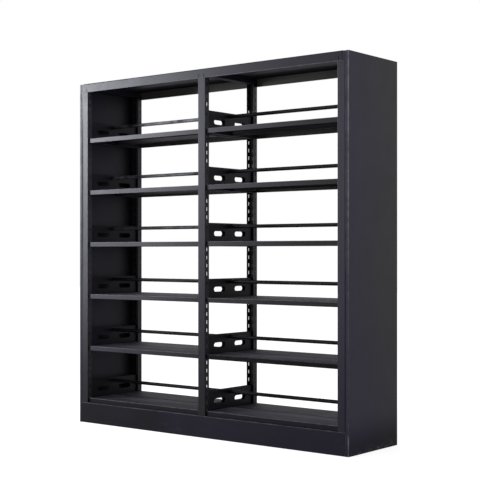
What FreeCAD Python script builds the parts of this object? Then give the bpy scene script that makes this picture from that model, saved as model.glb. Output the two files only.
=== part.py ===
import FreeCAD, Part
import os
import re
import Sketcher

# Double sided steel library shelving: slotted uprights, hook-on brackets, paired shelf boards,
# book-stop rods, end panels, a top board and kick plates. Millimetres, +Z up, fronts along -Y and +Y.
# The origin is on the floor, under the middle of the unit.

# What someone would change. Each size stands by itself.
driving_sizes = {
    "bay_count": 2,
    "level_count": 6,  # shelf levels in each bay, the bottom one included
    "bay_pitch": 908,  # from the middle of one upright to the middle of the next
    "total_height": 2000,
    "total_depth": 464,
    "post_sheet": 1.5,  # sheet of posts and rails
    "cover_sheet": 1.5,  # sheet of end panels, top board and kick plates
    "board_sheet": 1.2,
    "bracket_sheet": 1.5,
    "post_width": 50,
    "post_depth": 34,
    "post_bend": 2.5,
    "slot_width": 5,
    "slot_height": 20,
    "slot_pitch": 43.75,
    "slot_inset": 16,  # from the post's face to the middle of its slots
    "spare_slots": 1,  # above the highest hooks
    "rail_height": 32,
    "rail_rise": 20,  # underside of the bottom rails, above the floor
    "panel_thickness": 17,
    "panel_corner": 4,
    "panel_lip": 28,  # inward lip of an end panel, which lies on the post
    "panel_ledge": 55,  # top flange of an end panel, which the top board rests on
    "fascia_height": 50,
    "fascia_lip": 15,
    "top_setback": 35,  # from the outside of an end panel to the end of the top board
    "cover_bend": 2.5,
    "relief_width": 3,
    "relief_height": 22,
    "relief_inset": 7,  # from a post's edge inwards to the bend relief in the fascia
    "kick_height": 118,
    "kick_gap": 2.5,  # from the kick plates up to the lowest boards
    "kick_end_gap": 1.2,  # from the ends of the kick plates to the end panels
    "kick_return": 25,
    "board_height": 25,
    "board_lip": 12,
    "board_bend": 2,
    "board_setback": 12,  # from the front plane of the unit to the edge of a board
    "board_end_gap": 4.5,  # from a board's end to the post beside it
    "board_seam": 1,  # between the front and the rear board
    "web_spacing": 26,  # over the two brackets that hang in one upright
    "bracket_rise": 102,  # top edge of a bracket above its boards
    "bracket_corner": 6,
    "ledge_width": 33,
    "ledge_length": 380,
    "window_length": 98,
    "window_height": 27,
    "window_spacing": 180,
    "window_rise": 44,
    "hook_slots": 2,  # slot pitches between the two hooks of a bracket's end
    "hook_width": 4,
    "hook_neck": 6,  # height of the neck that passes through a slot
    "hook_drop": 6,  # how far the hook reaches down behind the slot's lower edge
    "hook_wrap": 0.3,  # clearance between the hook and the outside of the post
    "hook_seat": 0.2,  # clearance between the neck and the bottom of its slot
    "tab_clearance": 0.2,  # between a bracket's end tab and the inside of the post
    "rod_diameter": 20,
    "rod_wall": 1.2,
    "rod_rise": 84,  # middle of the rod above the boards
    "rod_fit": 0.25,  # radial clearance of the rod in its bracket
    "rod_overrun": 4,  # how far the rod passes through a bracket
    "side_gap": 0.5,  # between covers that meet
    "post_gap": 1,  # between a cover's flange and the post it passes
    "bolt_head": 10,
    "bolt_head_height": 3,
    "bolt_fit": 0.5,  # radial clearance of a bolt in the slot that it passes through
    "bolts_per_post": 4,
    "nut_size": 7,  # across flats
    "nut_height": 3.2,
}

# What follows from the sizes above.
worked_out_sizes = {
    "row_length": "bay_count * bay_pitch",
    "total_length": "row_length + post_width + 2 * panel_thickness",
    "half_depth": "total_depth / 2",
    "post_face": "half_depth - cover_sheet",
    "post_foot": "cover_sheet",
    "post_top": "total_height - 2 * cover_sheet",
    "half_post": "post_width / 2",
    "slot_line": "post_face - slot_inset",
    "slot_start": "kick_height + kick_gap + board_height",  # the lowest level's boards lie here
    "level_slots": "round((total_height - fascia_height - slot_start) / (level_count * slot_pitch))",
    "level_pitch": "level_slots * slot_pitch",
    "slot_count": "(level_count - 1) * level_slots + hook_slots + spare_slots + 1",
    "board_length": "bay_pitch - post_width - 2 * board_end_gap",
    "board_depth": "half_depth - board_setback - board_seam / 2",
    "web_face": "web_spacing / 2",
    "web_back": "web_face - bracket_sheet",
    "tab_face": "half_post - post_sheet - tab_clearance",
    "hook_face": "half_post + hook_wrap",
    "bracket_foot": "board_height + bracket_sheet",
    "bracket_height": "bracket_rise + bracket_foot",
    "step_face": "slot_line - slot_width - bracket_sheet",
    "tab_end": "slot_line + slot_width",
    "neck_middle": "hook_neck / 2 - slot_height / 2 + hook_seat",
    "hook_length": "hook_neck + hook_drop",
    "hook_middle": "neck_middle - hook_drop / 2",
    "rod_length": "bay_pitch - 2 * web_back + 2 * rod_overrun",
    "rail_width": "post_width - 2 * post_sheet",
    "rail_length": "2 * (post_face - post_sheet)",
    "top_length": "total_length - 2 * top_setback",
    "kick_length": "total_length - 2 * panel_thickness - 2 * kick_end_gap",
    "panel_height": "total_height - cover_sheet",
    "panel_face": "total_length / 2 - panel_thickness",
    "bolt_diameter": "slot_width - 2 * bolt_fit",
    "bolt_slots": "floor((slot_count - 3) / (bolts_per_post - 1))",  # slot pitches between bolts
    "bolt_length": "bolt_head_height + post_sheet + cover_sheet + nut_height + side_gap",
}

document = FreeCAD.newDocument("library_shelving")
sheet = document.addObject("Spreadsheet::Sheet", "Sizes")


def fill_sheet():
    """Writes every size into the sheet: its name in column A, its value or formula in column B."""
    rows = [(name, str(value)) for name, value in driving_sizes.items()]
    rows += [(name, "=" + formula) for name, formula in worked_out_sizes.items()]
    for number, (name, content) in enumerate(rows, start=1):
        sheet.set(f"A{number}", name)
        sheet.setAlias(f"B{number}", name)
        sheet.set(f"B{number}", content)
    document.recompute()


def bind(feature, settings):
    """Ties properties of a feature to the sheet, from formulas in the sheet's names."""
    for name, formula in settings.items():
        feature.setExpression(name, re.sub(r"[a-z]\w*", r"Sizes.\g<0>", formula))


def bind_place(feature, corner, place="Placement"):
    bind(feature, {f"{place}.Base.{axis}": formula for axis, formula in zip("xyz", corner)})


def add_body(name):
    return document.addObject("PartDesign::Body", name)


def origin_feature(body, role):
    return next(item for item in body.Origin.OriginFeatures if item.Role == role)


def add_box(body, name, corner, size, kind="Additive"):
    """A block of the body from its lowest corner, or a hollow in it when kind is Subtractive."""
    box = body.newObject(f"PartDesign::{kind}Box", name)
    bind(box, dict(zip(("Length", "Width", "Height"), size)))
    bind_place(box, corner)


def cut_box(body, name, corner, size):
    add_box(body, name, corner, size, kind="Subtractive")


def round_edges(body, name, radius, chosen):
    """Rounds the edges of the body's last feature whose middle and direction the test accepts."""
    document.recompute()
    base = body.Tip
    picked = []
    for number, edge in enumerate(base.Shape.Edges, start=1):
        middle = edge.valueAt((edge.FirstParameter + edge.LastParameter) / 2)
        if chosen(middle, edge.tangentAt(edge.FirstParameter)):
            picked.append(f"Edge{number}")
    fillet = body.newObject("PartDesign::Fillet", name)
    fillet.Base = (base, picked)
    bind(fillet, {"Radius": radius})


def add_sketch(body, name, centre, role="YZ_Plane"):
    sketch = body.newObject("Sketcher::SketchObject", name)
    sketch.AttachmentSupport = (origin_feature(body, role), [""])
    sketch.MapMode = "FlatFace"
    bind_place(sketch, centre, place="AttachmentOffset")
    return sketch


def draw_oblong(sketch, length, width, upright):
    """A slot with round ends about the sketch's origin, along its vertical axis if upright."""
    along = FreeCAD.Vector(0, 1, 0) if upright else FreeCAD.Vector(1, 0, 0)
    across = FreeCAD.Vector(0, 0, 1).cross(along)
    reach, radius = 2.0, 1.0  # a first drawing only: the constraints set its real size
    for side in (1, -1):
        far, near = along * reach * side, across * radius * side
        middle = far + along * radius * side
        sketch.addGeometry(Part.Arc(far - near, middle, far + near), False)
    for side in (1, -1):
        offset = across * radius * side
        sketch.addGeometry(Part.LineSegment(along * reach + offset, offset - along * reach), False)
    join = []
    for line in (2, 3):
        for line_end, arc in ((1, 0), (2, 1)):
            point = getattr(sketch.Geometry[line], ("StartPoint", "EndPoint")[line_end - 1])
            arc_end = 1 if sketch.Geometry[arc].StartPoint.isEqual(point, 0.001) else 2
            join.append(Sketcher.Constraint("Tangent", arc, arc_end, line, line_end))
    origin_axis = -2 if upright else -1
    join += [
        Sketcher.Constraint("Equal", 0, 1),
        Sketcher.Constraint("PointOnObject", 0, 3, origin_axis),
        Sketcher.Constraint("Symmetric", 0, 3, 1, 3, -1, 1),
        Sketcher.Constraint("Radius", 0, radius),
        Sketcher.Constraint("DistanceY" if upright else "DistanceX", 1, 3, 0, 3, 2 * reach),
    ]
    sketch.addConstraint(join)
    spread = len(join) - 1
    bind(sketch, {
        f"Constraints[{spread - 1}]": f"({width}) / 2",
        f"Constraints[{spread}]": f"({length}) - ({width})",
    })


def draw_circle(sketch, radius):
    sketch.addGeometry(Part.Circle(FreeCAD.Vector(), FreeCAD.Vector(0, 0, 1), 1.0), False)
    sketch.addConstraint([
        Sketcher.Constraint("Coincident", 0, 3, -1, 1),
        Sketcher.Constraint("Radius", 0, 1.0),
    ])
    bind(sketch, {"Constraints[1]": radius})


def pad_sketch(body, sketch, name, length):
    pad = body.newObject("PartDesign::Pad", name)
    pad.Profile = sketch
    bind(pad, {"Length": length})


def cut_sketch(body, sketch, name):
    """Cuts the sketch's outline through the whole body, both ways."""
    pocket = body.newObject("PartDesign::Pocket", name)
    pocket.Profile = sketch
    pocket.Type = "ThroughAll"
    pocket.Midplane = True
    return pocket


def repeat_up(body, features, name, occurrences, spacing):
    """Repeats features upwards at an even spacing."""
    pattern = body.newObject("PartDesign::LinearPattern", name)
    pattern.Originals = features
    pattern.Direction = (origin_feature(body, "Z_Axis"), [""])
    bind(pattern, {"Length": f"(({occurrences}) - 1) * ({spacing})", "Occurrences": occurrences})
    body.Tip = pattern


def place_copy(label, pieces, position, turned=False):
    """A sub-part made of finished pieces, at its place in the unit and turned half round if asked."""
    copy = document.addObject("Part::Compound", label)
    copy.Label = label
    copy.Links = pieces
    if turned:
        half_turn = FreeCAD.Rotation(FreeCAD.Vector(0, 0, 1), 180)
        copy.Placement = FreeCAD.Placement(FreeCAD.Vector(), half_turn)
    bind_place(copy, position)
    return copy


def upright_place(number):
    """How far an upright stands from the middle of the unit, counted from the left."""
    return f"{number} * bay_pitch - row_length / 2"


def build_post():
    """A post, its middle at X 0 and its face at Y 0, open towards +Y."""
    body = add_body("post")
    height = "post_top - post_foot"
    add_box(body, "post_block", ("0 - half_post", "0", "0"), ("post_width", "post_depth", height))
    round_edges(body, "post_bends", "post_bend", lambda at, way: at.y < 0.1 and abs(way.z) > 0.9)
    inside = ("post_sheet - half_post", "post_sheet", "0")
    cut_box(body, "post_channel", inside, ("post_width - 2 * post_sheet", "post_depth", height))
    slot = add_sketch(body, "slot_outline", ("slot_inset", "slot_start - post_foot", "0"))
    draw_oblong(slot, "slot_height", "slot_width", upright=True)
    pocket = cut_sketch(body, slot, "slot")
    repeat_up(body, [pocket], "slots", "slot_count", "slot_pitch")
    return body


def build_rail():
    """A square tube between two posts, its middle at X 0 and Y 0 and its underside at Z 0."""
    outside = document.addObject("Part::Box", "rail_outside")
    inside = document.addObject("Part::Box", "rail_inside")
    for box, wall in ((outside, "0"), (inside, "post_sheet")):
        bind(box, {
            "Length": f"rail_width - 2 * {wall}",
            "Width": "rail_length",
            "Height": f"rail_height - 2 * {wall}",
        })
        bind_place(box, (f"{wall} - rail_width / 2", "0 - rail_length / 2", wall))
    rail = document.addObject("Part::Cut", "rail")
    rail.Base = outside
    rail.Tool = inside
    return rail


def build_end_panel():
    """The right end panel: a tray that opens towards -X, with its open side at X 0."""
    body = add_body("end_panel")
    whole = ("panel_thickness", "total_depth", "panel_height")
    add_box(body, "panel_block", ("0", "0 - half_depth", "0"), whole)
    round_edges(body, "panel_corners", "panel_corner", lambda at, way: at.x > 1 and abs(way.z) > 0.9)
    add_box(
        body, "panel_ledge",
        ("panel_thickness - panel_ledge", "side_gap - post_face", "panel_height - cover_sheet"),
        ("panel_ledge - panel_thickness / 2", "2 * (post_face - side_gap)", "cover_sheet"),
    )
    inner = "panel_thickness - cover_sheet"
    cut_box(
        body, "panel_mouth",
        ("0", "panel_lip - half_depth", "panel_lip"),
        (inner, "total_depth - 2 * panel_lip", "panel_height - 2 * panel_lip"),
    )
    cut_box(
        body, "panel_hollow",
        ("cover_sheet", "cover_sheet - half_depth", "cover_sheet"),
        (f"{inner} - cover_sheet", "total_depth - 2 * cover_sheet", "panel_height - 2 * cover_sheet"),
    )
    for side, number in (("0 - ", "front"), ("", "rear")):
        hole = body.newObject("PartDesign::SubtractiveCylinder", f"bolt_hole_{number}")
        bind(hole, {"Radius": "bolt_diameter / 2 + bolt_fit", "Height": "3 * cover_sheet"})
        hole.Placement.Rotation = FreeCAD.Rotation(FreeCAD.Vector(0, 1, 0), 90)
        bind_place(hole, ("0 - cover_sheet", f"{side}slot_line", "slot_start + slot_pitch"))
        repeat_up(body, [hole], f"bolt_holes_{number}", "bolts_per_post", "bolt_slots * slot_pitch")
    return body


def build_top_board():
    """The top board over the whole row, its middle at X 0 and Y 0 and its upper face at Z 0."""
    body = add_body("top_tray")
    lowest = "0 - fascia_height"
    corner = ("0 - top_length / 2", "0 - half_depth", lowest)
    add_box(body, "top_block", corner, ("top_length", "total_depth", "fascia_height"))
    round_edges(body, "top_bends", "cover_bend", lambda at, way: at.z > -0.1 and abs(way.x) > 0.9)
    lip_reach = "half_depth - fascia_lip - cover_sheet"
    under_top = "fascia_height - cover_sheet"
    cut_box(
        body, "top_mouth",
        ("0 - top_length / 2", f"0 - ({lip_reach})", lowest),
        ("top_length", f"2 * ({lip_reach})", under_top),
    )
    cut_box(
        body, "top_hollow",
        ("0 - top_length / 2", "cover_sheet - half_depth", "cover_sheet - fascia_height"),
        ("top_length", "2 * post_face", "fascia_height - 2 * cover_sheet"),
    )
    for number in range(upright_count):
        middle = upright_place(number)
        cut_box(
            body, f"lip_gap_{number}",
            (f"{middle} - half_post - post_gap", "cover_sheet - half_depth", lowest),
            ("post_width + 2 * post_gap", "2 * post_face", "cover_sheet"),
        )
        for side, is_inner in ((-1, number > 0), (1, number < upright_count - 1)):
            if is_inner:
                edge = f"{middle} + {side} * (half_post - relief_inset) - relief_width / 2"
                name = f"relief_{number}_{'left' if side < 0 else 'right'}"
                cut_box(
                    body, name,
                    (edge, "0 - half_depth", lowest),
                    ("relief_width", "total_depth", "relief_height"),
                )
    return body


def build_kick_plate():
    """The front kick plate, its middle at X 0, its face at Y 0 and its foot at Z 0."""
    body = add_body("kick_plate")
    whole = ("kick_length", "kick_return", "kick_height")
    add_box(body, "kick_block", ("0 - kick_length / 2", "0", "0"), whole)
    round_edges(body, "kick_bends", "cover_bend", lambda at, way: at.y < 0.1 and abs(way.x) > 0.9)
    cut_box(
        body, "kick_hollow",
        ("0 - kick_length / 2", "cover_sheet", "cover_sheet"),
        ("kick_length", "kick_return", "kick_height - 2 * cover_sheet"),
    )
    for number in range(upright_count):
        cut_box(
            body, f"post_gap_{number}",
            (f"{upright_place(number)} - half_post - post_gap", "cover_sheet", "kick_height - cover_sheet"),
            ("post_width + 2 * post_gap", "kick_return", "cover_sheet"),
        )
    return body


def build_board():
    """A front shelf board, its middle at X 0, its front edge at Y 0 and its upper face at Z 0."""
    body = add_body("board")
    left = "0 - board_length / 2"
    whole = ("board_length", "board_depth", "board_height")
    add_box(body, "board_block", (left, "0", "0 - board_height"), whole)
    round_edges(body, "board_bends", "board_bend", lambda at, way: at.z > -0.1 and abs(way.x) > 0.9)
    inner_length = "board_length - 2 * board_sheet"
    cut_box(
        body, "board_mouth",
        (f"{left} + board_sheet", "board_lip", "0 - board_height"),
        (inner_length, "board_depth - 2 * board_lip", "board_height - board_sheet"),
    )
    cut_box(
        body, "board_hollow",
        (f"{left} + board_sheet", "board_sheet", "board_sheet - board_height"),
        (inner_length, "board_depth - 2 * board_sheet", "board_height - 2 * board_sheet"),
    )
    return body


def build_bracket():
    """A bracket that hangs on the right of an upright, whose middle is X 0. Its boards lie at Z 0."""
    body = add_body("bracket")
    foot = "0 - bracket_foot"
    web = ("bracket_sheet", "2 * (step_face + bracket_sheet)", "bracket_height")
    add_box(body, "web", ("web_back", "0 - step_face - bracket_sheet", foot), web)
    ledge_place = ("web_back", "0 - ledge_length / 2", foot)
    add_box(body, "ledge", ledge_place, ("ledge_width + bracket_sheet", "ledge_length", "bracket_sheet"))
    step = ("tab_face - web_back", "bracket_sheet", "bracket_height")
    tab = ("bracket_sheet", "tab_end - step_face", "bracket_height")
    for end, step_place, tab_place in (
        ("front", "0 - step_face - bracket_sheet", "0 - tab_end"),
        ("rear", "step_face", "step_face"),
    ):
        add_box(body, f"step_{end}", ("web_back", step_place, foot), step)
        add_box(body, f"tab_{end}", ("tab_face - bracket_sheet", tab_place, foot), tab)
    tab_limit = float(sheet.tab_end) - 0.1
    round_edges(
        body, "tab_corners", "bracket_corner",
        lambda at, way: abs(at.y) > tab_limit and at.z > 0 and abs(way.x) > 0.9,
    )
    for end, side in (("front", "0 - "), ("rear", "")):
        for number in range(2):
            rise = f"{number} * hook_slots * slot_pitch"
            neck = add_sketch(
                body, f"neck_outline_{end}_{number}",
                (f"{side}slot_line", f"{rise} + neck_middle", "tab_face - bracket_sheet / 2"),
            )
            draw_oblong(neck, "hook_neck", "hook_width", upright=True)
            pad_sketch(body, neck, f"neck_{end}_{number}", "hook_face - tab_face + bracket_sheet")
            hook = add_sketch(
                body, f"hook_outline_{end}_{number}",
                (f"{side}slot_line", f"{rise} + hook_middle", "hook_face"),
            )
            draw_oblong(hook, "hook_length", "hook_width", upright=True)
            pad_sketch(body, hook, f"hook_{end}_{number}", "bracket_sheet")
        window = add_sketch(body, f"window_outline_{end}", (f"{side}window_spacing / 2", "window_rise", "0"))
        draw_oblong(window, "window_length", "window_height", upright=False)
        cut_sketch(body, window, f"window_{end}")
    rod_hole = add_sketch(body, "rod_hole_outline", ("0", "rod_rise", "0"))
    draw_circle(rod_hole, "rod_diameter / 2 + rod_fit")
    cut_sketch(body, rod_hole, "rod_hole")
    return body


def build_rod():
    """A book-stop rod: a tube along X, its middle at the origin."""
    body = add_body("rod")
    for kind, radius in (("Additive", "rod_diameter / 2"), ("Subtractive", "rod_diameter / 2 - rod_wall")):
        tube = body.newObject(f"PartDesign::{kind}Cylinder", f"rod_{kind.lower()}")
        tube.Placement.Rotation = FreeCAD.Rotation(FreeCAD.Vector(0, 1, 0), 90)
        bind(tube, {"Radius": radius, "Height": "rod_length"})
        bind_place(tube, ("0 - rod_length / 2", "0", "0"))
    return body


def build_bolt():
    """A bolt along +X whose head stands on X 0, on its -X side."""
    head = document.addObject("Part::Cylinder", "bolt_head")
    bind(head, {"Radius": "bolt_head / 2", "Height": "bolt_head_height"})
    shank = document.addObject("Part::Cylinder", "bolt_shank")
    bind(shank, {"Radius": "bolt_diameter / 2", "Height": "bolt_length"})
    for piece in (head, shank):
        piece.Placement.Rotation = FreeCAD.Rotation(FreeCAD.Vector(0, 1, 0), 90)
        bind_place(piece, ("0 - bolt_head_height", "0", "0"))
    bolt = document.addObject("Part::Fuse", "bolt")
    bolt.Base = head
    bolt.Tool = shank
    return bolt


def build_nut():
    """The bolt's nut, where it closes on the end panel's lip."""
    hexagon = document.addObject("Part::Prism", "nut_hexagon")
    hexagon.Polygon = 6
    bind(hexagon, {"Circumradius": "nut_size / 3 ^ 0.5", "Height": "nut_height"})
    bore = document.addObject("Part::Cylinder", "nut_bore")
    bind(bore, {"Radius": "bolt_diameter / 2 + bolt_fit / 2", "Height": "nut_height"})
    for piece in (hexagon, bore):
        piece.Placement.Rotation = FreeCAD.Rotation(FreeCAD.Vector(0, 1, 0), 90)
        bind_place(piece, ("post_sheet + cover_sheet", "0", "0"))
    nut = document.addObject("Part::Cut", "nut")
    nut.Base = hexagon
    nut.Tool = bore
    return nut


def side_names(count):
    """Names for uprights or bays from left to right."""
    if count == 1:
        return ["only"]
    inner = ["center"] if count == 3 else [f"inner_{number}" for number in range(1, count - 1)]
    return ["left"] + inner + ["right"]


def place_uprights():
    """The posts of every upright, and its two rails."""
    post = build_post()
    parts = []
    for number, side in enumerate(side_names(upright_count)):
        across = upright_place(number)
        parts.append(place_copy(f"post_front_{side}", [post], (across, "0 - post_face", "post_foot")))
        parts.append(place_copy(f"post_rear_{side}", [post], (across, "post_face", "post_foot"), turned=True))
    rail = build_rail()
    rails = []
    for number in range(upright_count):
        for level, rise in (("bottom", "rail_rise"), ("top", "post_top - rail_height")):
            rails.append(place_copy(f"rail_{level}_{number}", [rail], (upright_place(number), "0", rise)))
    parts.append(place_copy("upright_rails", rails, ("0", "0", "0")))
    return parts


def place_covers():
    """End panels with their bolts, the top board and the kick plates."""
    panel = build_end_panel()
    parts = [
        place_copy("end_panel_left", [panel], ("0 - panel_face", "0", "0"), turned=True),
        place_copy("end_panel_right", [panel], ("panel_face", "0", "0")),
    ]
    fixing = [build_bolt(), build_nut()]
    fixings = []
    for end in (-1, 1):
        for side in (-1, 1):
            for number in range(int(sheet.bolts_per_post)):
                name = f"fixing_{len(fixings)}"
                place = (
                    f"{end} * (panel_face - post_sheet)",
                    f"{side} * slot_line",
                    f"slot_start + (1 + {number} * bolt_slots) * slot_pitch",
                )
                fixings.append(place_copy(name, fixing, place, turned=end < 0))
    parts.append(place_copy("panel_bolts", fixings, ("0", "0", "0")))
    parts.append(place_copy("top_board", [build_top_board()], ("0", "0", "total_height")))
    kick = build_kick_plate()
    front = place_copy("kick_front", [kick], ("0", "0 - half_depth", "0"))
    rear = place_copy("kick_rear", [kick], ("0", "half_depth", "0"), turned=True)
    parts.append(place_copy("kick_plates", [front, rear], ("0", "0", "0")))
    return parts


def place_shelves():
    """Brackets, rod and two boards for every level of every bay."""
    bracket = build_bracket()
    facing_bracket = place_copy("facing_bracket", [bracket], ("bay_pitch", "0", "0"), turned=True)
    rod = build_rod()
    board = build_board()
    parts = []
    for bay, side in enumerate(side_names(bay_count)):
        for level in range(int(sheet.level_count)):
            name = f"{side}_{level + 1}"
            rise = f"slot_start + {level} * level_pitch"
            middle = f"{upright_place(bay)} + bay_pitch / 2"
            pair = [bracket, facing_bracket]
            parts.append(place_copy(f"brackets_{name}", pair, (upright_place(bay), "0", rise)))
            parts.append(place_copy(f"rod_{name}", [rod], (middle, "0", f"{rise} + rod_rise")))
            edge = "(half_depth - board_setback)"
            parts.append(place_copy(f"board_front_{name}", [board], (middle, f"0 - {edge}", rise)))
            parts.append(place_copy(f"board_rear_{name}", [board], (middle, edge, rise), turned=True))
    return parts


def write_parts(parts):
    """Checks the whole document, then writes one STEP file for each sub-part."""
    document.recompute()
    failed = [item.Name for item in document.Objects if {"Invalid", "Error"} & set(item.State)]
    if failed:
        raise RuntimeError(f"features that failed: {failed}")
    for part in parts:
        if part.Shape.isNull() or not part.Shape.isValid() or not part.Shape.Solids:
            raise RuntimeError(f"{part.Label} has no valid solid")
    os.makedirs("parts", exist_ok=True)
    for part in parts:
        part.Shape.exportStep(f"parts/{part.Label}.step")
    print(f"{len(parts)} sub-parts, {sum(len(part.Shape.Solids) for part in parts)} solids")


fill_sheet()
bay_count = int(sheet.bay_count)
upright_count = bay_count + 1
write_parts(place_uprights() + place_covers() + place_shelves())
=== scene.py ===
import bpy, bmesh
from fnmatch import fnmatchcase
from math import radians
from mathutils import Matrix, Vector

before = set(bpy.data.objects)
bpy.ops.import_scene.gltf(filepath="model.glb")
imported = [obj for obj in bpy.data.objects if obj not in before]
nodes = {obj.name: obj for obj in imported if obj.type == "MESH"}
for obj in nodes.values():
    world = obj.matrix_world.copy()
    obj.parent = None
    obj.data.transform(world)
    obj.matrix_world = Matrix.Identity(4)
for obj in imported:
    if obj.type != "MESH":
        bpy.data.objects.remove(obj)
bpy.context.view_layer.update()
print("frame loaded,", len(nodes), "nodes")


def extent(name, axis):  # how far a node reaches along one axis
    places = [vertex.co[axis] for vertex in nodes[name].data.vertices]
    return min(places), max(places)


class Field:  # a number that changes over a surface, so that masks read as plain sums
    def __init__(self, maker, socket):
        self.maker, self.socket = maker, socket

    def calc(self, operation, *others):
        feeds = dict(enumerate((self,) + others))
        return self.maker.field("ShaderNodeMath", {"operation": operation}, feeds)

    def __add__(self, other):
        return self.calc("ADD", other)

    def __mul__(self, other):
        return self.calc("MULTIPLY", other)

    def __sub__(self, other):
        return self.calc("SUBTRACT", other)

    def __mod__(self, other):
        return self.calc("FLOORED_MODULO", other)

    def __neg__(self):
        return self * -1.0

    def __rsub__(self, other):
        return -self + other

    def __abs__(self):
        return self.calc("ABSOLUTE")

    __radd__, __rmul__ = __add__, __mul__

    def most(self, other):
        return self.calc("MAXIMUM", other)

    def fade(self, start, full):  # 0 at start, 1 where it is full, soft between
        feeds = {"Value": self, "From Min": start, "From Max": full}
        return self.maker.field("ShaderNodeMapRange", {"interpolation_type": "SMOOTHSTEP"}, feeds)

    def upTo(self, edge, start, full):  # the same, with both places given as distances below an edge
        return self.fade(edge - start, edge - full)

    def band(self, centre, half, soft):  # 1 within half of the centre
        return abs(self - centre).fade(half + soft, half)

    def swing(self, share=1.0):  # a noise runs from 0 to 1; this makes it go up and down about 0
        return (self - 0.5) * share


class Nodes:  # the emptied node tree of a material or a world
    def __init__(self, owner):
        owner.use_nodes = True
        self.tree = owner.node_tree
        self.tree.nodes.clear()

    def make(self, kind, settings=None, feeds=None):
        node = self.tree.nodes.new(kind)
        for key, value in (settings or {}).items():
            setattr(node, key, value)
        for key, value in (feeds or {}).items():
            named = (socket for socket in node.inputs if socket.name == key and socket.enabled)
            socket = node.inputs[key] if isinstance(key, int) else next(named)
            if isinstance(value, (Field, bpy.types.NodeSocket)):
                self.tree.links.new(getattr(value, "socket", value), socket)
            else:
                socket.default_value = (*value, 1.0) if socket.type == "RGBA" else value
        return node

    def field(self, kind, settings=None, feeds=None):
        return Field(self, self.make(kind, settings, feeds).outputs[0])


class Finish(Nodes):  # a material around one Principled shader, its patterns on Object coordinates
    def __init__(self, name):
        self.material = bpy.data.materials.new(name)
        super().__init__(self.material)
        self.place = self.make("ShaderNodeTexCoord").outputs["Object"]
        self.x, self.y, self.z = self.parts(self.place)

    def parts(self, vector):
        split = self.make("ShaderNodeSeparateXYZ", feeds={"Vector": vector})
        return [Field(self, part) for part in split.outputs]

    def facing(self):  # how far the surface faces along X, Y and Z
        return self.parts(self.make("ShaderNodeNewGeometry").outputs["Normal"])

    def noise(self, scale, detail=2.0, roughness=0.5, grain=None):  # grain makes it finer along X, Y or Z
        place = self.place
        if grain:
            place = self.make("ShaderNodeMapping", feeds={"Vector": place, "Scale": grain}).outputs[0]
        feeds = {"Vector": place, "Scale": scale, "Detail": detail, "Roughness": roughness}
        return self.field("ShaderNodeTexNoise", feeds=feeds)

    def blend(self, amount, first, second):
        feeds = {"Factor": amount, "A": first, "B": second}
        outputs = self.make("ShaderNodeMix", {"data_type": "RGBA"}, feeds).outputs
        return next(output for output in outputs if output.enabled)

    def close(self, dents, strength, depth, feeds):
        bump = self.make("ShaderNodeBump", feeds={"Height": dents, "Strength": strength, "Distance": depth})
        shader = self.make("ShaderNodeBsdfPrincipled", feeds={**feeds, "Normal": bump.outputs[0]})
        self.make("ShaderNodeOutputMaterial", feeds={"Surface": shader.outputs[0]})
        return self.material


# In the dictionaries a fade is the place where it starts and the place where it is full, a band is
# its centre, its half width and its soft rim, and a noise is its scale, detail and roughness, and
# its grain if it has one.

coat = {  # powder coat, as it is where a piece's own coat says nothing else
    "tone": (0.017, 0.016, 0.025),
    "violetTone": (0.019, 0.016, 0.029),
    "inwardLightTone": (0.082, 0.08, 0.072),  # painted light: a much lighter tone on faces that look inwards
    "paintedShadeTone": (0.004, 0.004, 0.004),
    "foldLightTone": (0.29, 0.27, 0.295),  # painted light inside the folds of the boards
    "wornAndLitEdgeTone": (0.26, 0.26, 0.29),  # bends and rims rubbed down to the primer, and painted highlights along bends
    "dustAndSheenTone": (0.16, 0.148, 0.19),
    "roughness": 0.37,
    "specular": 0.2,
    "sheen": (0.94, 0.89, 1.0),
    "edgeWearAndHighlight": 0.6,
    "dustAndSheen": 0.0,
    "beneath": 0.4,  # added roughness on faces that look down
    "lookingInwards": (-0.05, -0.15),
    "lookingDown": (-0.9, -0.99),
    "lookingUp": (0.9, 0.99),
    "speck": (900.0, 1.0),
    "speckRoughness": 0.06,
    "grime": (9.0, 5.0, 0.62),
    "grimeRoughness": 0.16,
    "levelRoughness": 0.25,  # added on upper faces, and the next one where the dust and painted sheen lie on them
    "dustRoughness": 0.3,
    "seamRoughness": 0.6,
    "brushed": (22.0, 3.0, 0.5),  # breaks up the wear and the painted highlights along an edge
    "brushedFade": (0.1, 0.8),
    "peel": (420.0, 2.0),  # orange peel, about 2.5 mm across
    "peelStrength": 0.35,
    "peelDepth": 0.00004,
    "drift": (1.7, 3.0),  # slow change of the violet cast
    "driftFade": (0.35, 0.65),
    "scatter": (14.0, 6.0, 0.7),
    "scatterFade": (0.3, 0.75),
}


def violetPatches(finish):
    return finish.noise(*coat["drift"]).fade(*coat["driftFade"])


def scattered(finish):
    return finish.noise(*coat["scatter"]).fade(*coat["scatterFade"])


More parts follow.
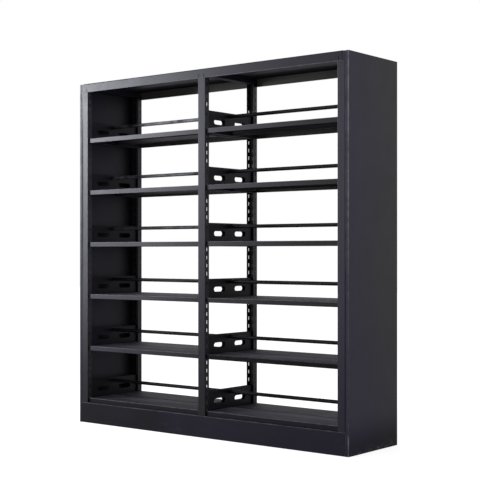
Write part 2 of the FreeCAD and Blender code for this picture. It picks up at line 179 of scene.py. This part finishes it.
def powderCoat(name, own, edge=None, violet=violetPatches, dustAndSheenPattern=scattered, seam=None, fold=None):
    look = {**coat, **own}
    finish = Finish(name)
    _, along, up = finish.facing()
    colour = finish.blend(violet(finish), look["tone"], look["violetTone"])
    # faces that look inwards take the lighter tone: painted light
    inwards = (along * finish.y).fade(*look["lookingInwards"])
    colour = finish.blend(inwards, colour, look["inwardLightTone"])
    speck = finish.noise(*look["speck"]).swing(look["speckRoughness"])
    grime = finish.noise(*look["grime"]).swing(look["grimeRoughness"])
    rough = look["roughness"] + grime + speck + up.fade(*look["lookingDown"]) * look["beneath"]
    # upper faces take a lighter violet tone: dust, and a painted reflection on the board tops
    if look["dustAndSheen"]:
        level = up.fade(*look["lookingUp"])
        dustAndSheenMask = level * dustAndSheenPattern(finish) * look["dustAndSheen"]
        colour = finish.blend(dustAndSheenMask, colour, look["dustAndSheenTone"])
        rough = rough + level * look["levelRoughness"] + dustAndSheenMask * look["dustRoughness"]
    # the seam masks paint shade: they blend in a near-black tone
    if seam:
        shadeMask = seam(finish)
        colour = finish.blend(shadeMask, colour, look["paintedShadeTone"])
        rough = rough + shadeMask * look["seamRoughness"]
    if fold:
        colour = finish.blend(fold(finish, along), colour, look["foldLightTone"])
    # the edge masks hold real wear and painted highlights along bends
    if edge:
        rubbed = edge(finish) * finish.noise(*look["brushed"]).fade(*look["brushedFade"])
        colour = finish.blend(rubbed * look["edgeWearAndHighlight"], colour, look["wornAndLitEdgeTone"])
    surface = {
        "Base Color": colour, "Roughness": rough,
        "Specular IOR Level": look["specular"], "Specular Tint": look["sheen"],
    }
    return finish.close(finish.noise(*look["peel"]), look["peelStrength"], look["peelDepth"], surface)


boards = {
    "face": extent("board_rear_left_1", 1)[1],
    "first": extent("board_rear_left_1", 2)[1],  # the upper faces of the lowest boards
    "pitch": extent("board_rear_left_2", 2)[1] - extent("board_rear_left_1", 2)[1],
    "bend": (0.004, 0.001),  # in from the face
    "bendReach": 0.004,  # how far under the upper faces the bends are looked for
    "bendBand": (0.0, 0.0008, 0.0025),
    "coat": {
        "tone": (0.012, 0.012, 0.013), "violetTone": (0.047, 0.040, 0.062), "specular": 0.17, "edgeWearAndHighlight": 0.7,
        "dustAndSheen": 0.6,
    },
    # a darker copy of the board coat: painted shade on the lowest boards
    "lowShadedCoat": {
        "tone": (0.010, 0.010, 0.013), "violetTone": (0.013, 0.012, 0.019), "specular": 0.11, "edgeWearAndHighlight": 0.8,
        "dustAndSheen": 1.0,
    },
    "shadedCoat": {
        "tone": (0.006, 0.006, 0.006), "violetTone": (0.007, 0.006, 0.009), "specular": 0.07, "edgeWearAndHighlight": 0.3,
        "dustAndSheen": 1.3,
    },
    "lightAcross": -0.6,  # how fast the painted light, the lighter violet tone, grows towards the left and upwards
    "lightUp": 0.3,
    "violetFade": (-0.2, 1.0),
    "streaks": (2.0, 4.0, 0.6, (1.0, 8.0, 1.0)),
    "streakFade": (0.3, 0.7),
    "streakDustAndSheen": 0.3,
    "behindStreaks": 0.5,
    "behindDustAndSheen": 0.3,
    "behindEdge": -0.03,  # the dust grows from the front edge to here, and ends at the middle
    "middleFade": (0.01, 0.0),
    "seam": (0.0065, 0.0035),  # out from the middle, where the two boards meet
    "lipFace": (0.0008, 0.0014),  # how far from the middle the inner faces of the lips stand
    "lipPlace": (0.004, 0.003),
    "lipStart": (-0.95, -0.45),  # the painted light is strongest to the left of the middle upright
    "lipEnd": (0.2, -0.1),
    "lipLeast": 0.15,
    "lipShare": 0.7,
    "lipHeight": (0.9, 1.6),
}


def aboveBoards(finish, reach):  # the height over the nearest boards, as far as reach below them
    return (finish.z - boards["first"] + reach) % boards["pitch"] - reach


def onBoardEdge(finish):  # the front and rear bends that books slide over: rubbed, and lightened with a painted highlight
    bend = abs(finish.y).upTo(boards["face"], *boards["bend"])
    return bend * aboveBoards(finish, boards["bendReach"]).band(*boards["bendBand"])


# painted light: the boards turn to their lighter violet tone towards the upper left, broken up by the slow
# drift
def lightTowardsUpperLeft(finish):
    slope = finish.x * boards["lightAcross"] + finish.z * boards["lightUp"]
    return (slope + finish.noise(*coat["drift"]).swing()).fade(*boards["violetFade"])


def alongBoard(finish):  # dust that books have pushed into streaks, with a painted sheen, most of it behind the front edge
    streaks = finish.noise(*boards["streaks"]).fade(*boards["streakFade"])
    behind = finish.y.fade(-boards["face"], boards["behindEdge"]) * finish.y.fade(*boards["middleFade"])
    share = boards["streakDustAndSheen"] + behind * boards["behindStreaks"]
    return streaks * share + behind * boards["behindDustAndSheen"]


def shadeInBoardSeam(finish):  # painted shade in the seam where the front and the rear board meet
    return abs(finish.y).fade(*boards["seam"])


def foldLight(finish, along):  # painted light on the inner faces of the lips at the middle, which show under the front edges; it grows upwards and towards the left
    lip = (along * finish.y).fade(*boards["lipFace"]) * abs(finish.y).fade(*boards["lipPlace"])
    share = boards["lipLeast"] + finish.x.fade(*boards["lipEnd"]) * boards["lipShare"]
    return lip * (finish.x.fade(*boards["lipStart"]) * share) * finish.z.fade(*boards["lipHeight"])


def boardCoat(name, own, **masks):
    return powderCoat(name, own, onBoardEdge, dustAndSheenPattern=alongBoard, seam=shadeInBoardSeam, **masks)


postSides = extent("post_front_right", 0)
slotsPerLevel = 7
posts = {
    "pitch": sum(postSides) / 2,  # from one upright to the next
    "half": (postSides[1] - postSides[0]) / 2,
    "seam": postSides[1],  # where the end panels lie against the posts
    "face": extent("post_rear_right", 1)[1],
    # lighter and darker copies of one coat on the three uprights: painted light and shade, the centre one
    # darkest
    "leftCoat": {"tone": (0.007, 0.007, 0.009), "violetTone": (0.030, 0.028, 0.040), "specular": 0.22},
    "centreCoat": {"tone": (0.005, 0.005, 0.007), "violetTone": (0.014, 0.012, 0.022), "specular": 0.22},
    "rightCoat": {"tone": (0.015, 0.013, 0.024), "violetTone": (0.034, 0.031, 0.047), "specular": 0.22},
    "headFade": (0.0, 0.9),  # painted shade: the coat is darkest at the foot and turns to its lighter second tone towards the head
    "slotPitch": boards["pitch"] / slotsPerLevel,
    "slotLine": 0.2145,
    "slotHalf": 0.0075,  # half the straight part of a slot
    "slotRadius": 0.0025,
    "rubbed": (0.002, 0.0003),  # round the rim of a slot
    "bend": (0.003, 0.001),
    "bendHeight": (0.3, 1.9),
    "seamShadeFace": (0.002, 0.0005),  # in from the face, and the next two in from the seam
    "rightSeamShade": (0.009, 0.005),
    "leftSeamShade": (0.014, 0.008),
    "leftSeamShadeFoot": (0.5, 1.2),
    "leftSeamShadeHead": (1.95, 1.5),
    "leftSeamShadeShare": 0.45,
}


def onPost(finish):  # paint that hooks rub off round the slots, and painted highlights on the bends beside the face, growing upwards
    halfPitch = posts["slotPitch"] / 2
    up = abs((finish.z - boards["first"] + halfPitch) % posts["slotPitch"] - halfPitch)
    out = abs(abs(finish.y) - posts["slotLine"])
    reach = (up - posts["slotHalf"]).most(0.0)
    rim = (reach * reach + out * out).calc("SQRT") - posts["slotRadius"]
    across = abs(finish.x)
    fromMiddle = across.calc("MINIMUM", abs(across - posts["pitch"]))
    bend = fromMiddle.upTo(posts["half"], *posts["bend"]) * finish.z.fade(*posts["bendHeight"])
    return rim.fade(*posts["rubbed"]).most(bend * abs(finish.y).upTo(posts["face"], *posts["bend"]))


def shadeTowardsFoot(finish):
    return finish.z.fade(*posts["headFade"])


def shadeBesidePanel(finish):  # painted shade on the post faces beside the seams with the end panels; on the left post it lies only at middle heights
    height = finish.z.fade(*posts["leftSeamShadeFoot"]) * finish.z.fade(*posts["leftSeamShadeHead"])
    left = (-finish.x).upTo(posts["seam"], *posts["leftSeamShade"]) * height * posts["leftSeamShadeShare"]
    right = finish.x.upTo(posts["seam"], *posts["rightSeamShade"])
    return left.most(right) * abs(finish.y).upTo(posts["face"], *posts["seamShadeFace"])


def postCoat(name, own):
    return powderCoat(name, own, onPost, violet=shadeTowardsFoot, seam=shadeBesidePanel)


panels = {
    "side": extent("end_panel_right", 0)[1],
    "face": extent("end_panel_right", 1)[1],
    "coat": {
        "tone": (0.020, 0.019, 0.023), "violetTone": (0.022, 0.019, 0.040), "roughness": 0.46, "edgeWearAndHighlight": 1.6,
    },
    "bend": (0.006, 0.003),  # in from the side, and the next one in from the face
    "bendFace": (0.005, 0.002),
    "strip": (0.003, 0.006),  # a painted highlight beyond the seam, on the narrow face of the left panel
    "stripHighlight": 0.35,
    "seamBend": (0.002, 0.0),
    "seamFace": (0.002, 0.001),
    "seamHighlight": 0.8,
    "height": (0.3, 1.9),
    "leastHeight": 0.15,
    "rightPanelReach": (-0.8, 0.8),
    "footLines": (0.14, 0.09),
    "footLineHighlight": 0.55,
    "foot": (0.05, 0.0),
    "chips": (30.0, 5.0, 0.8),
    "chipFade": (0.5, 0.62),
    "chipWear": 0.3,
    "floorShade": (0.22, 0.02),
    "floorShadeShare": 0.5,
    "violetMiddle": 0.5,
    "violetIn": 1.8,  # how fast the violet cast grows towards the front
    "violetDrift": 0.8,
    "violetFade": (0.1, 0.9),
}


def onPanelEdge(finish):  # chipped paint at the foot, and painted highlights along the upright bends and the seam by the post, strongest near the top and again near the floor
    foot = finish.z.fade(*panels["foot"]) * finish.noise(*panels["chips"]).fade(*panels["chipFade"])
    strip = (-finish.x - posts["seam"]).fade(*panels["strip"]) * panels["stripHighlight"]
    bend = abs(finish.x).upTo(panels["side"], *panels["bend"]).most(strip)
    bend = bend * abs(finish.y).upTo(panels["face"], *panels["bendFace"])
    seam = (abs(finish.x) - posts["seam"]).fade(*panels["seamBend"])
    seam = seam * abs(finish.y).upTo(panels["face"], *panels["seamFace"]) * panels["seamHighlight"]
    height = finish.z.fade(*panels["height"])
    rightPanelReach = finish.x.fade(*panels["rightPanelReach"]).most(height)
    footLines = finish.z.fade(*panels["footLines"]) * panels["footLineHighlight"]
    reach = (panels["leastHeight"] + height * (1.0 - panels["leastHeight"])).most(footLines)
    return (foot * panels["chipWear"]).most(bend.most(seam) * reach * rightPanelReach)


# painted shade: the end panels darken towards the floor
def shadeTowardsFloor(finish):
    return finish.z.fade(*panels["floorShade"]) * panels["floorShadeShare"]


def towardsFront(finish):
    drift = finish.noise(*coat["drift"]).swing(panels["violetDrift"])
    return (panels["violetMiddle"] - finish.y * panels["violetIn"] + drift).fade(*panels["violetFade"])


topBoard = {
    "foot": extent("top_board", 2)[0],  # the lower edges of its fascias
    "face": extent("top_board", 1)[1],
    # its inward faces take an even lighter tone: painted light on the inner faces of the fascias
    "coat": {"inwardLightTone": (0.12, 0.117, 0.107), "beneath": 0.2, "edgeWearAndHighlight": 0.7, "dustAndSheen": 0.5},
    "bend": (0.0035, 0.001),  # above the foot, and the next one in from the face
    "bendFace": (0.003, 0.001),
    "brushed": (-0.6, 0.4),  # the wear grows along X
    "underShadeFoot": (0.045, 0.047),  # above the foot; the underside of the sheet lies between the two
    "underShadeHead": (0.0495, 0.049),
    "underShadeFade": (0.07, 0.17),  # towards the fascias
    "underShadeShare": 0.8,
}


def onFasciaEdge(finish):  # the lower bends of the fascias, brushed where books come out
    bend = (finish.z - topBoard["foot"]).fade(*topBoard["bend"])
    bend = bend * abs(finish.y).upTo(topBoard["face"], *topBoard["bendFace"])
    return bend * finish.x.fade(*topBoard["brushed"])


def shadeUnderTop(finish):  # painted shade under the top board, darkest towards the fascias
    rise = finish.z - topBoard["foot"]
    low = rise.fade(*topBoard["underShadeFoot"]) * rise.fade(*topBoard["underShadeHead"])
    return low * abs(finish.y).fade(*topBoard["underShadeFade"]) * topBoard["underShadeShare"]


kickPlates = {
    "top": extent("kick_plates", 2)[1],
    # a darker, duller copy of the coat: painted shade low down
    "coat": {"tone": (0.011, 0.010, 0.015), "specular": 0.11, "edgeWearAndHighlight": 0.4},
    "shoes": (0.05, 0.03, 0.03),  # the band that shoes brush
    "streaks": (7.0, 6.0, 0.75, (1.0, 1.0, 5.0)),
    "streakFade": (0.56, 0.7),
    "streakWear": 0.15,
    "bend": (0.004, 0.0015),  # a painted highlight along the top bend, below the top
}


# scuffs where shoes brush, and a painted highlight along the top bend
def onKick(finish):
    streaks = finish.noise(*kickPlates["streaks"]).fade(*kickPlates["streakFade"])
    bend = finish.z.upTo(kickPlates["top"], *kickPlates["bend"])
    return (finish.z.band(*kickPlates["shoes"]) * streaks * kickPlates["streakWear"]).most(bend)


brackets = {
    # a darker, duller copy of the coat: painted shade inside the bays
    "coat": {
        "tone": (0.009, 0.008, 0.011), "violetTone": (0.011, 0.009, 0.018), "specular": 0.11, "edgeWearAndHighlight": 0.3,
    },
    "reach": 0.03,  # how far under the upper faces of the boards the foot is looked for
    "foot": (-0.0255, 0.002, 0.002),  # the bend under the boards
}


def onBracketFoot(finish):
    return aboveBoards(finish, brackets["reach"]).band(*brackets["foot"])


rods = {
    "coat": {
        "tone": (0.007, 0.007, 0.007), "violetTone": (0.009, 0.008, 0.011), "specular": 0.1,
        "roughness": 0.5, "edgeWearAndHighlight": 1.6,
    },
    "litAcross": (0.0, -0.3),
    "litHeight": (0.7, 1.7),
    "leastLit": 0.05,
    "glintStreaks": (5.0, 4.0, 0.6, (1.0, 8.0, 8.0)),
    "glintStreakFade": (0.3, 0.75),
}


def onRod(finish):  # painted highlights on the rods, in streaks, strongest towards the upper left
    litShare = finish.x.fade(*rods["litAcross"]) * finish.z.fade(*rods["litHeight"])
    return finish.noise(*rods["glintStreaks"]).fade(*rods["glintStreakFade"]) * (rods["leastLit"] + litShare)


bolts = {
    "tones": ((0.52, 0.53, 0.56), (0.63, 0.62, 0.58)),
    "cloud": (70.0, 4.0, 0.6),
    "cloudFade": (0.35, 0.65),
    "roughness": 0.27,
    "cloudRoughness": 0.2,
    "grain": (600.0, 2.0),
    "grainStrength": 0.3,
    "grainDepth": 0.00003,
}


def zincPlate(name):
    finish = Finish(name)
    cloud = finish.noise(*bolts["cloud"])
    rough = bolts["roughness"] + cloud.swing(bolts["cloudRoughness"])
    colour = finish.blend(cloud.fade(*bolts["cloudFade"]), *bolts["tones"])
    surface = {"Base Color": colour, "Roughness": rough, "Metallic": 1.0}
    return finish.close(finish.noise(*bolts["grain"]), bolts["grainStrength"], bolts["grainDepth"], surface)


finishes = {  # the first pattern that fits a node's name counts
    "post_*_left": postCoat("leftPostCoat", posts["leftCoat"]),
    "post_*_center": postCoat("centrePostCoat", posts["centreCoat"]),
    "post_*_right": postCoat("rightPostCoat", posts["rightCoat"]),
    "upright_rails": powderCoat("railCoat", {}),
    "end_panel_*": powderCoat(
        "panelCoat", panels["coat"], onPanelEdge, violet=towardsFront, seam=shadeTowardsFloor),
    "panel_bolts": zincPlate("zincPlate"),
    "top_board": powderCoat("topCoat", topBoard["coat"], onFasciaEdge, seam=shadeUnderTop),
    "kick_plates": powderCoat("kickCoat", kickPlates["coat"], onKick),
    "brackets_*": powderCoat("bracketCoat", brackets["coat"], onBracketFoot),
    "rod_*": powderCoat("rodCoat", rods["coat"], onRod),
    "board_*_1": boardCoat("lowShadedBoardCoat", boards["lowShadedCoat"]),
    "board_*_right_2": boardCoat("shadedBoardCoat", boards["shadedCoat"]),
    "board_*": boardCoat("boardCoat", boards["coat"], violet=lightTowardsUpperLeft, fold=foldLight),
}
for name, piece in nodes.items():
    material = next(finish for pattern, finish in finishes.items() if fnmatchcase(name, pattern))
    piece.data.materials.clear()
    piece.data.materials.append(material)
print("finishes laid on:", len(finishes))


floorLook = {
    "size": 40.0,
    "drop": 0.0005,  # under the feet, so that the two don't flicker
    "tone": (0.8, 0.8, 0.8),
    "glow": 0.75,  # adds up to white with the light that falls on the floor
    "sheen": 0.3,  # the same for reflections, where the floor beside the object is dimmer
}


def showsBackground(maker):  # 1 where the camera, a reflection or glass looks at it
    path = maker.make("ShaderNodeLightPath").outputs
    return Field(maker, path["Is Camera Ray"]).most(path["Is Glossy Ray"]).most(path["Is Transmission Ray"])


def paleFloor():
    material = bpy.data.materials.new("paleFloor")
    maker = Nodes(material)
    matt = maker.make("ShaderNodeBsdfDiffuse", feeds={"Color": floorLook["tone"]})
    seen = maker.make("ShaderNodeLightPath").outputs["Is Camera Ray"]
    levels = {"Factor": seen, "A": floorLook["sheen"], "B": floorLook["glow"]}
    level = maker.field("ShaderNodeMix", feeds=levels)
    glow = maker.make("ShaderNodeEmission", feeds={"Strength": showsBackground(maker) * level})
    both = maker.make("ShaderNodeAddShader", feeds={0: matt.outputs[0], 1: glow.outputs[0]})
    maker.make("ShaderNodeOutputMaterial", feeds={"Surface": both.outputs[0]})
    return material


def layFloor():
    mesh = bpy.data.meshes.new("floor")
    shape = bmesh.new()
    bmesh.ops.create_grid(shape, x_segments=1, y_segments=1, size=floorLook["size"] / 2)
    bmesh.ops.translate(shape, verts=shape.verts, vec=(0.0, 0.0, -floorLook["drop"]))
    shape.to_mesh(mesh)
    shape.free()
    floor = bpy.data.objects.new("floor", mesh)
    bpy.context.scene.collection.objects.link(floor)
    mesh.materials.append(paleFloor())


lighting = {
    "worldLevel": 0.45,  # of the light that falls on the object; the background itself is white
    "tint": (0.93, 1.0, 0.97),
    "spread": 75.0,
}

lamps = {  # place, point it is turned to, size, watts
    "keyLamp": ((-3.5, -2.45, 2.35), (-0.95, -0.23, 1.95), (1.1, 1.3), 18.0),
    "wideLamp": ((-4.5, -3.0, 1.9), (-0.95, -0.23, 1.85), (2.0, 2.6), 25.0),
}


def lightWorld():
    world = bpy.data.worlds.new("softWorld")
    maker = Nodes(world)
    feeds = {"Value": showsBackground(maker), "To Min": lighting["worldLevel"]}
    level = maker.field("ShaderNodeMapRange", feeds=feeds)
    back = maker.make("ShaderNodeBackground", feeds={"Color": (1.0, 1.0, 1.0), "Strength": level})
    maker.make("ShaderNodeOutputWorld", feeds={"Surface": back.outputs[0]})
    bpy.context.scene.world = world


def hangLamp(name, place, target, size, watts):
    light = bpy.data.lights.new(name, "AREA")
    light.shape = "RECTANGLE"
    light.size, light.size_y = size
    light.spread = radians(lighting["spread"])
    light.energy = watts
    light.color = lighting["tint"]
    lamp = bpy.data.objects.new(name, light)
    lamp.location = place
    lamp.rotation_euler = (Vector(target) - Vector(place)).to_track_quat("-Z", "Y").to_euler()
    bpy.context.scene.collection.objects.link(lamp)


cameraLook = {
    "place": (4.0316, -4.9392, 1.0073),
    "tilt": 90.0,  # level, so that upright edges stay upright
    "turn": 38.639,
    "lens": 85.7,
    "sensor": 36.0,
    "shift": 0.0248,
    "farEnd": 100.0,
}


def setCamera():
    lens = bpy.data.cameras.new("camera")
    lens.lens = cameraLook["lens"]
    lens.sensor_width = cameraLook["sensor"]
    lens.shift_y = cameraLook["shift"]
    lens.clip_end = cameraLook["farEnd"]
    camera = bpy.data.objects.new("camera", lens)
    camera.location = cameraLook["place"]
    camera.rotation_euler = (radians(cameraLook["tilt"]), 0.0, radians(cameraLook["turn"]))
    bpy.context.scene.collection.objects.link(camera)
    bpy.context.scene.camera = camera


layFloor()
lightWorld()
for name, settings in lamps.items():
    hangLamp(name, *settings)
setCamera()
bpy.context.scene.view_settings.view_transform = "Standard"
print("studio ready")
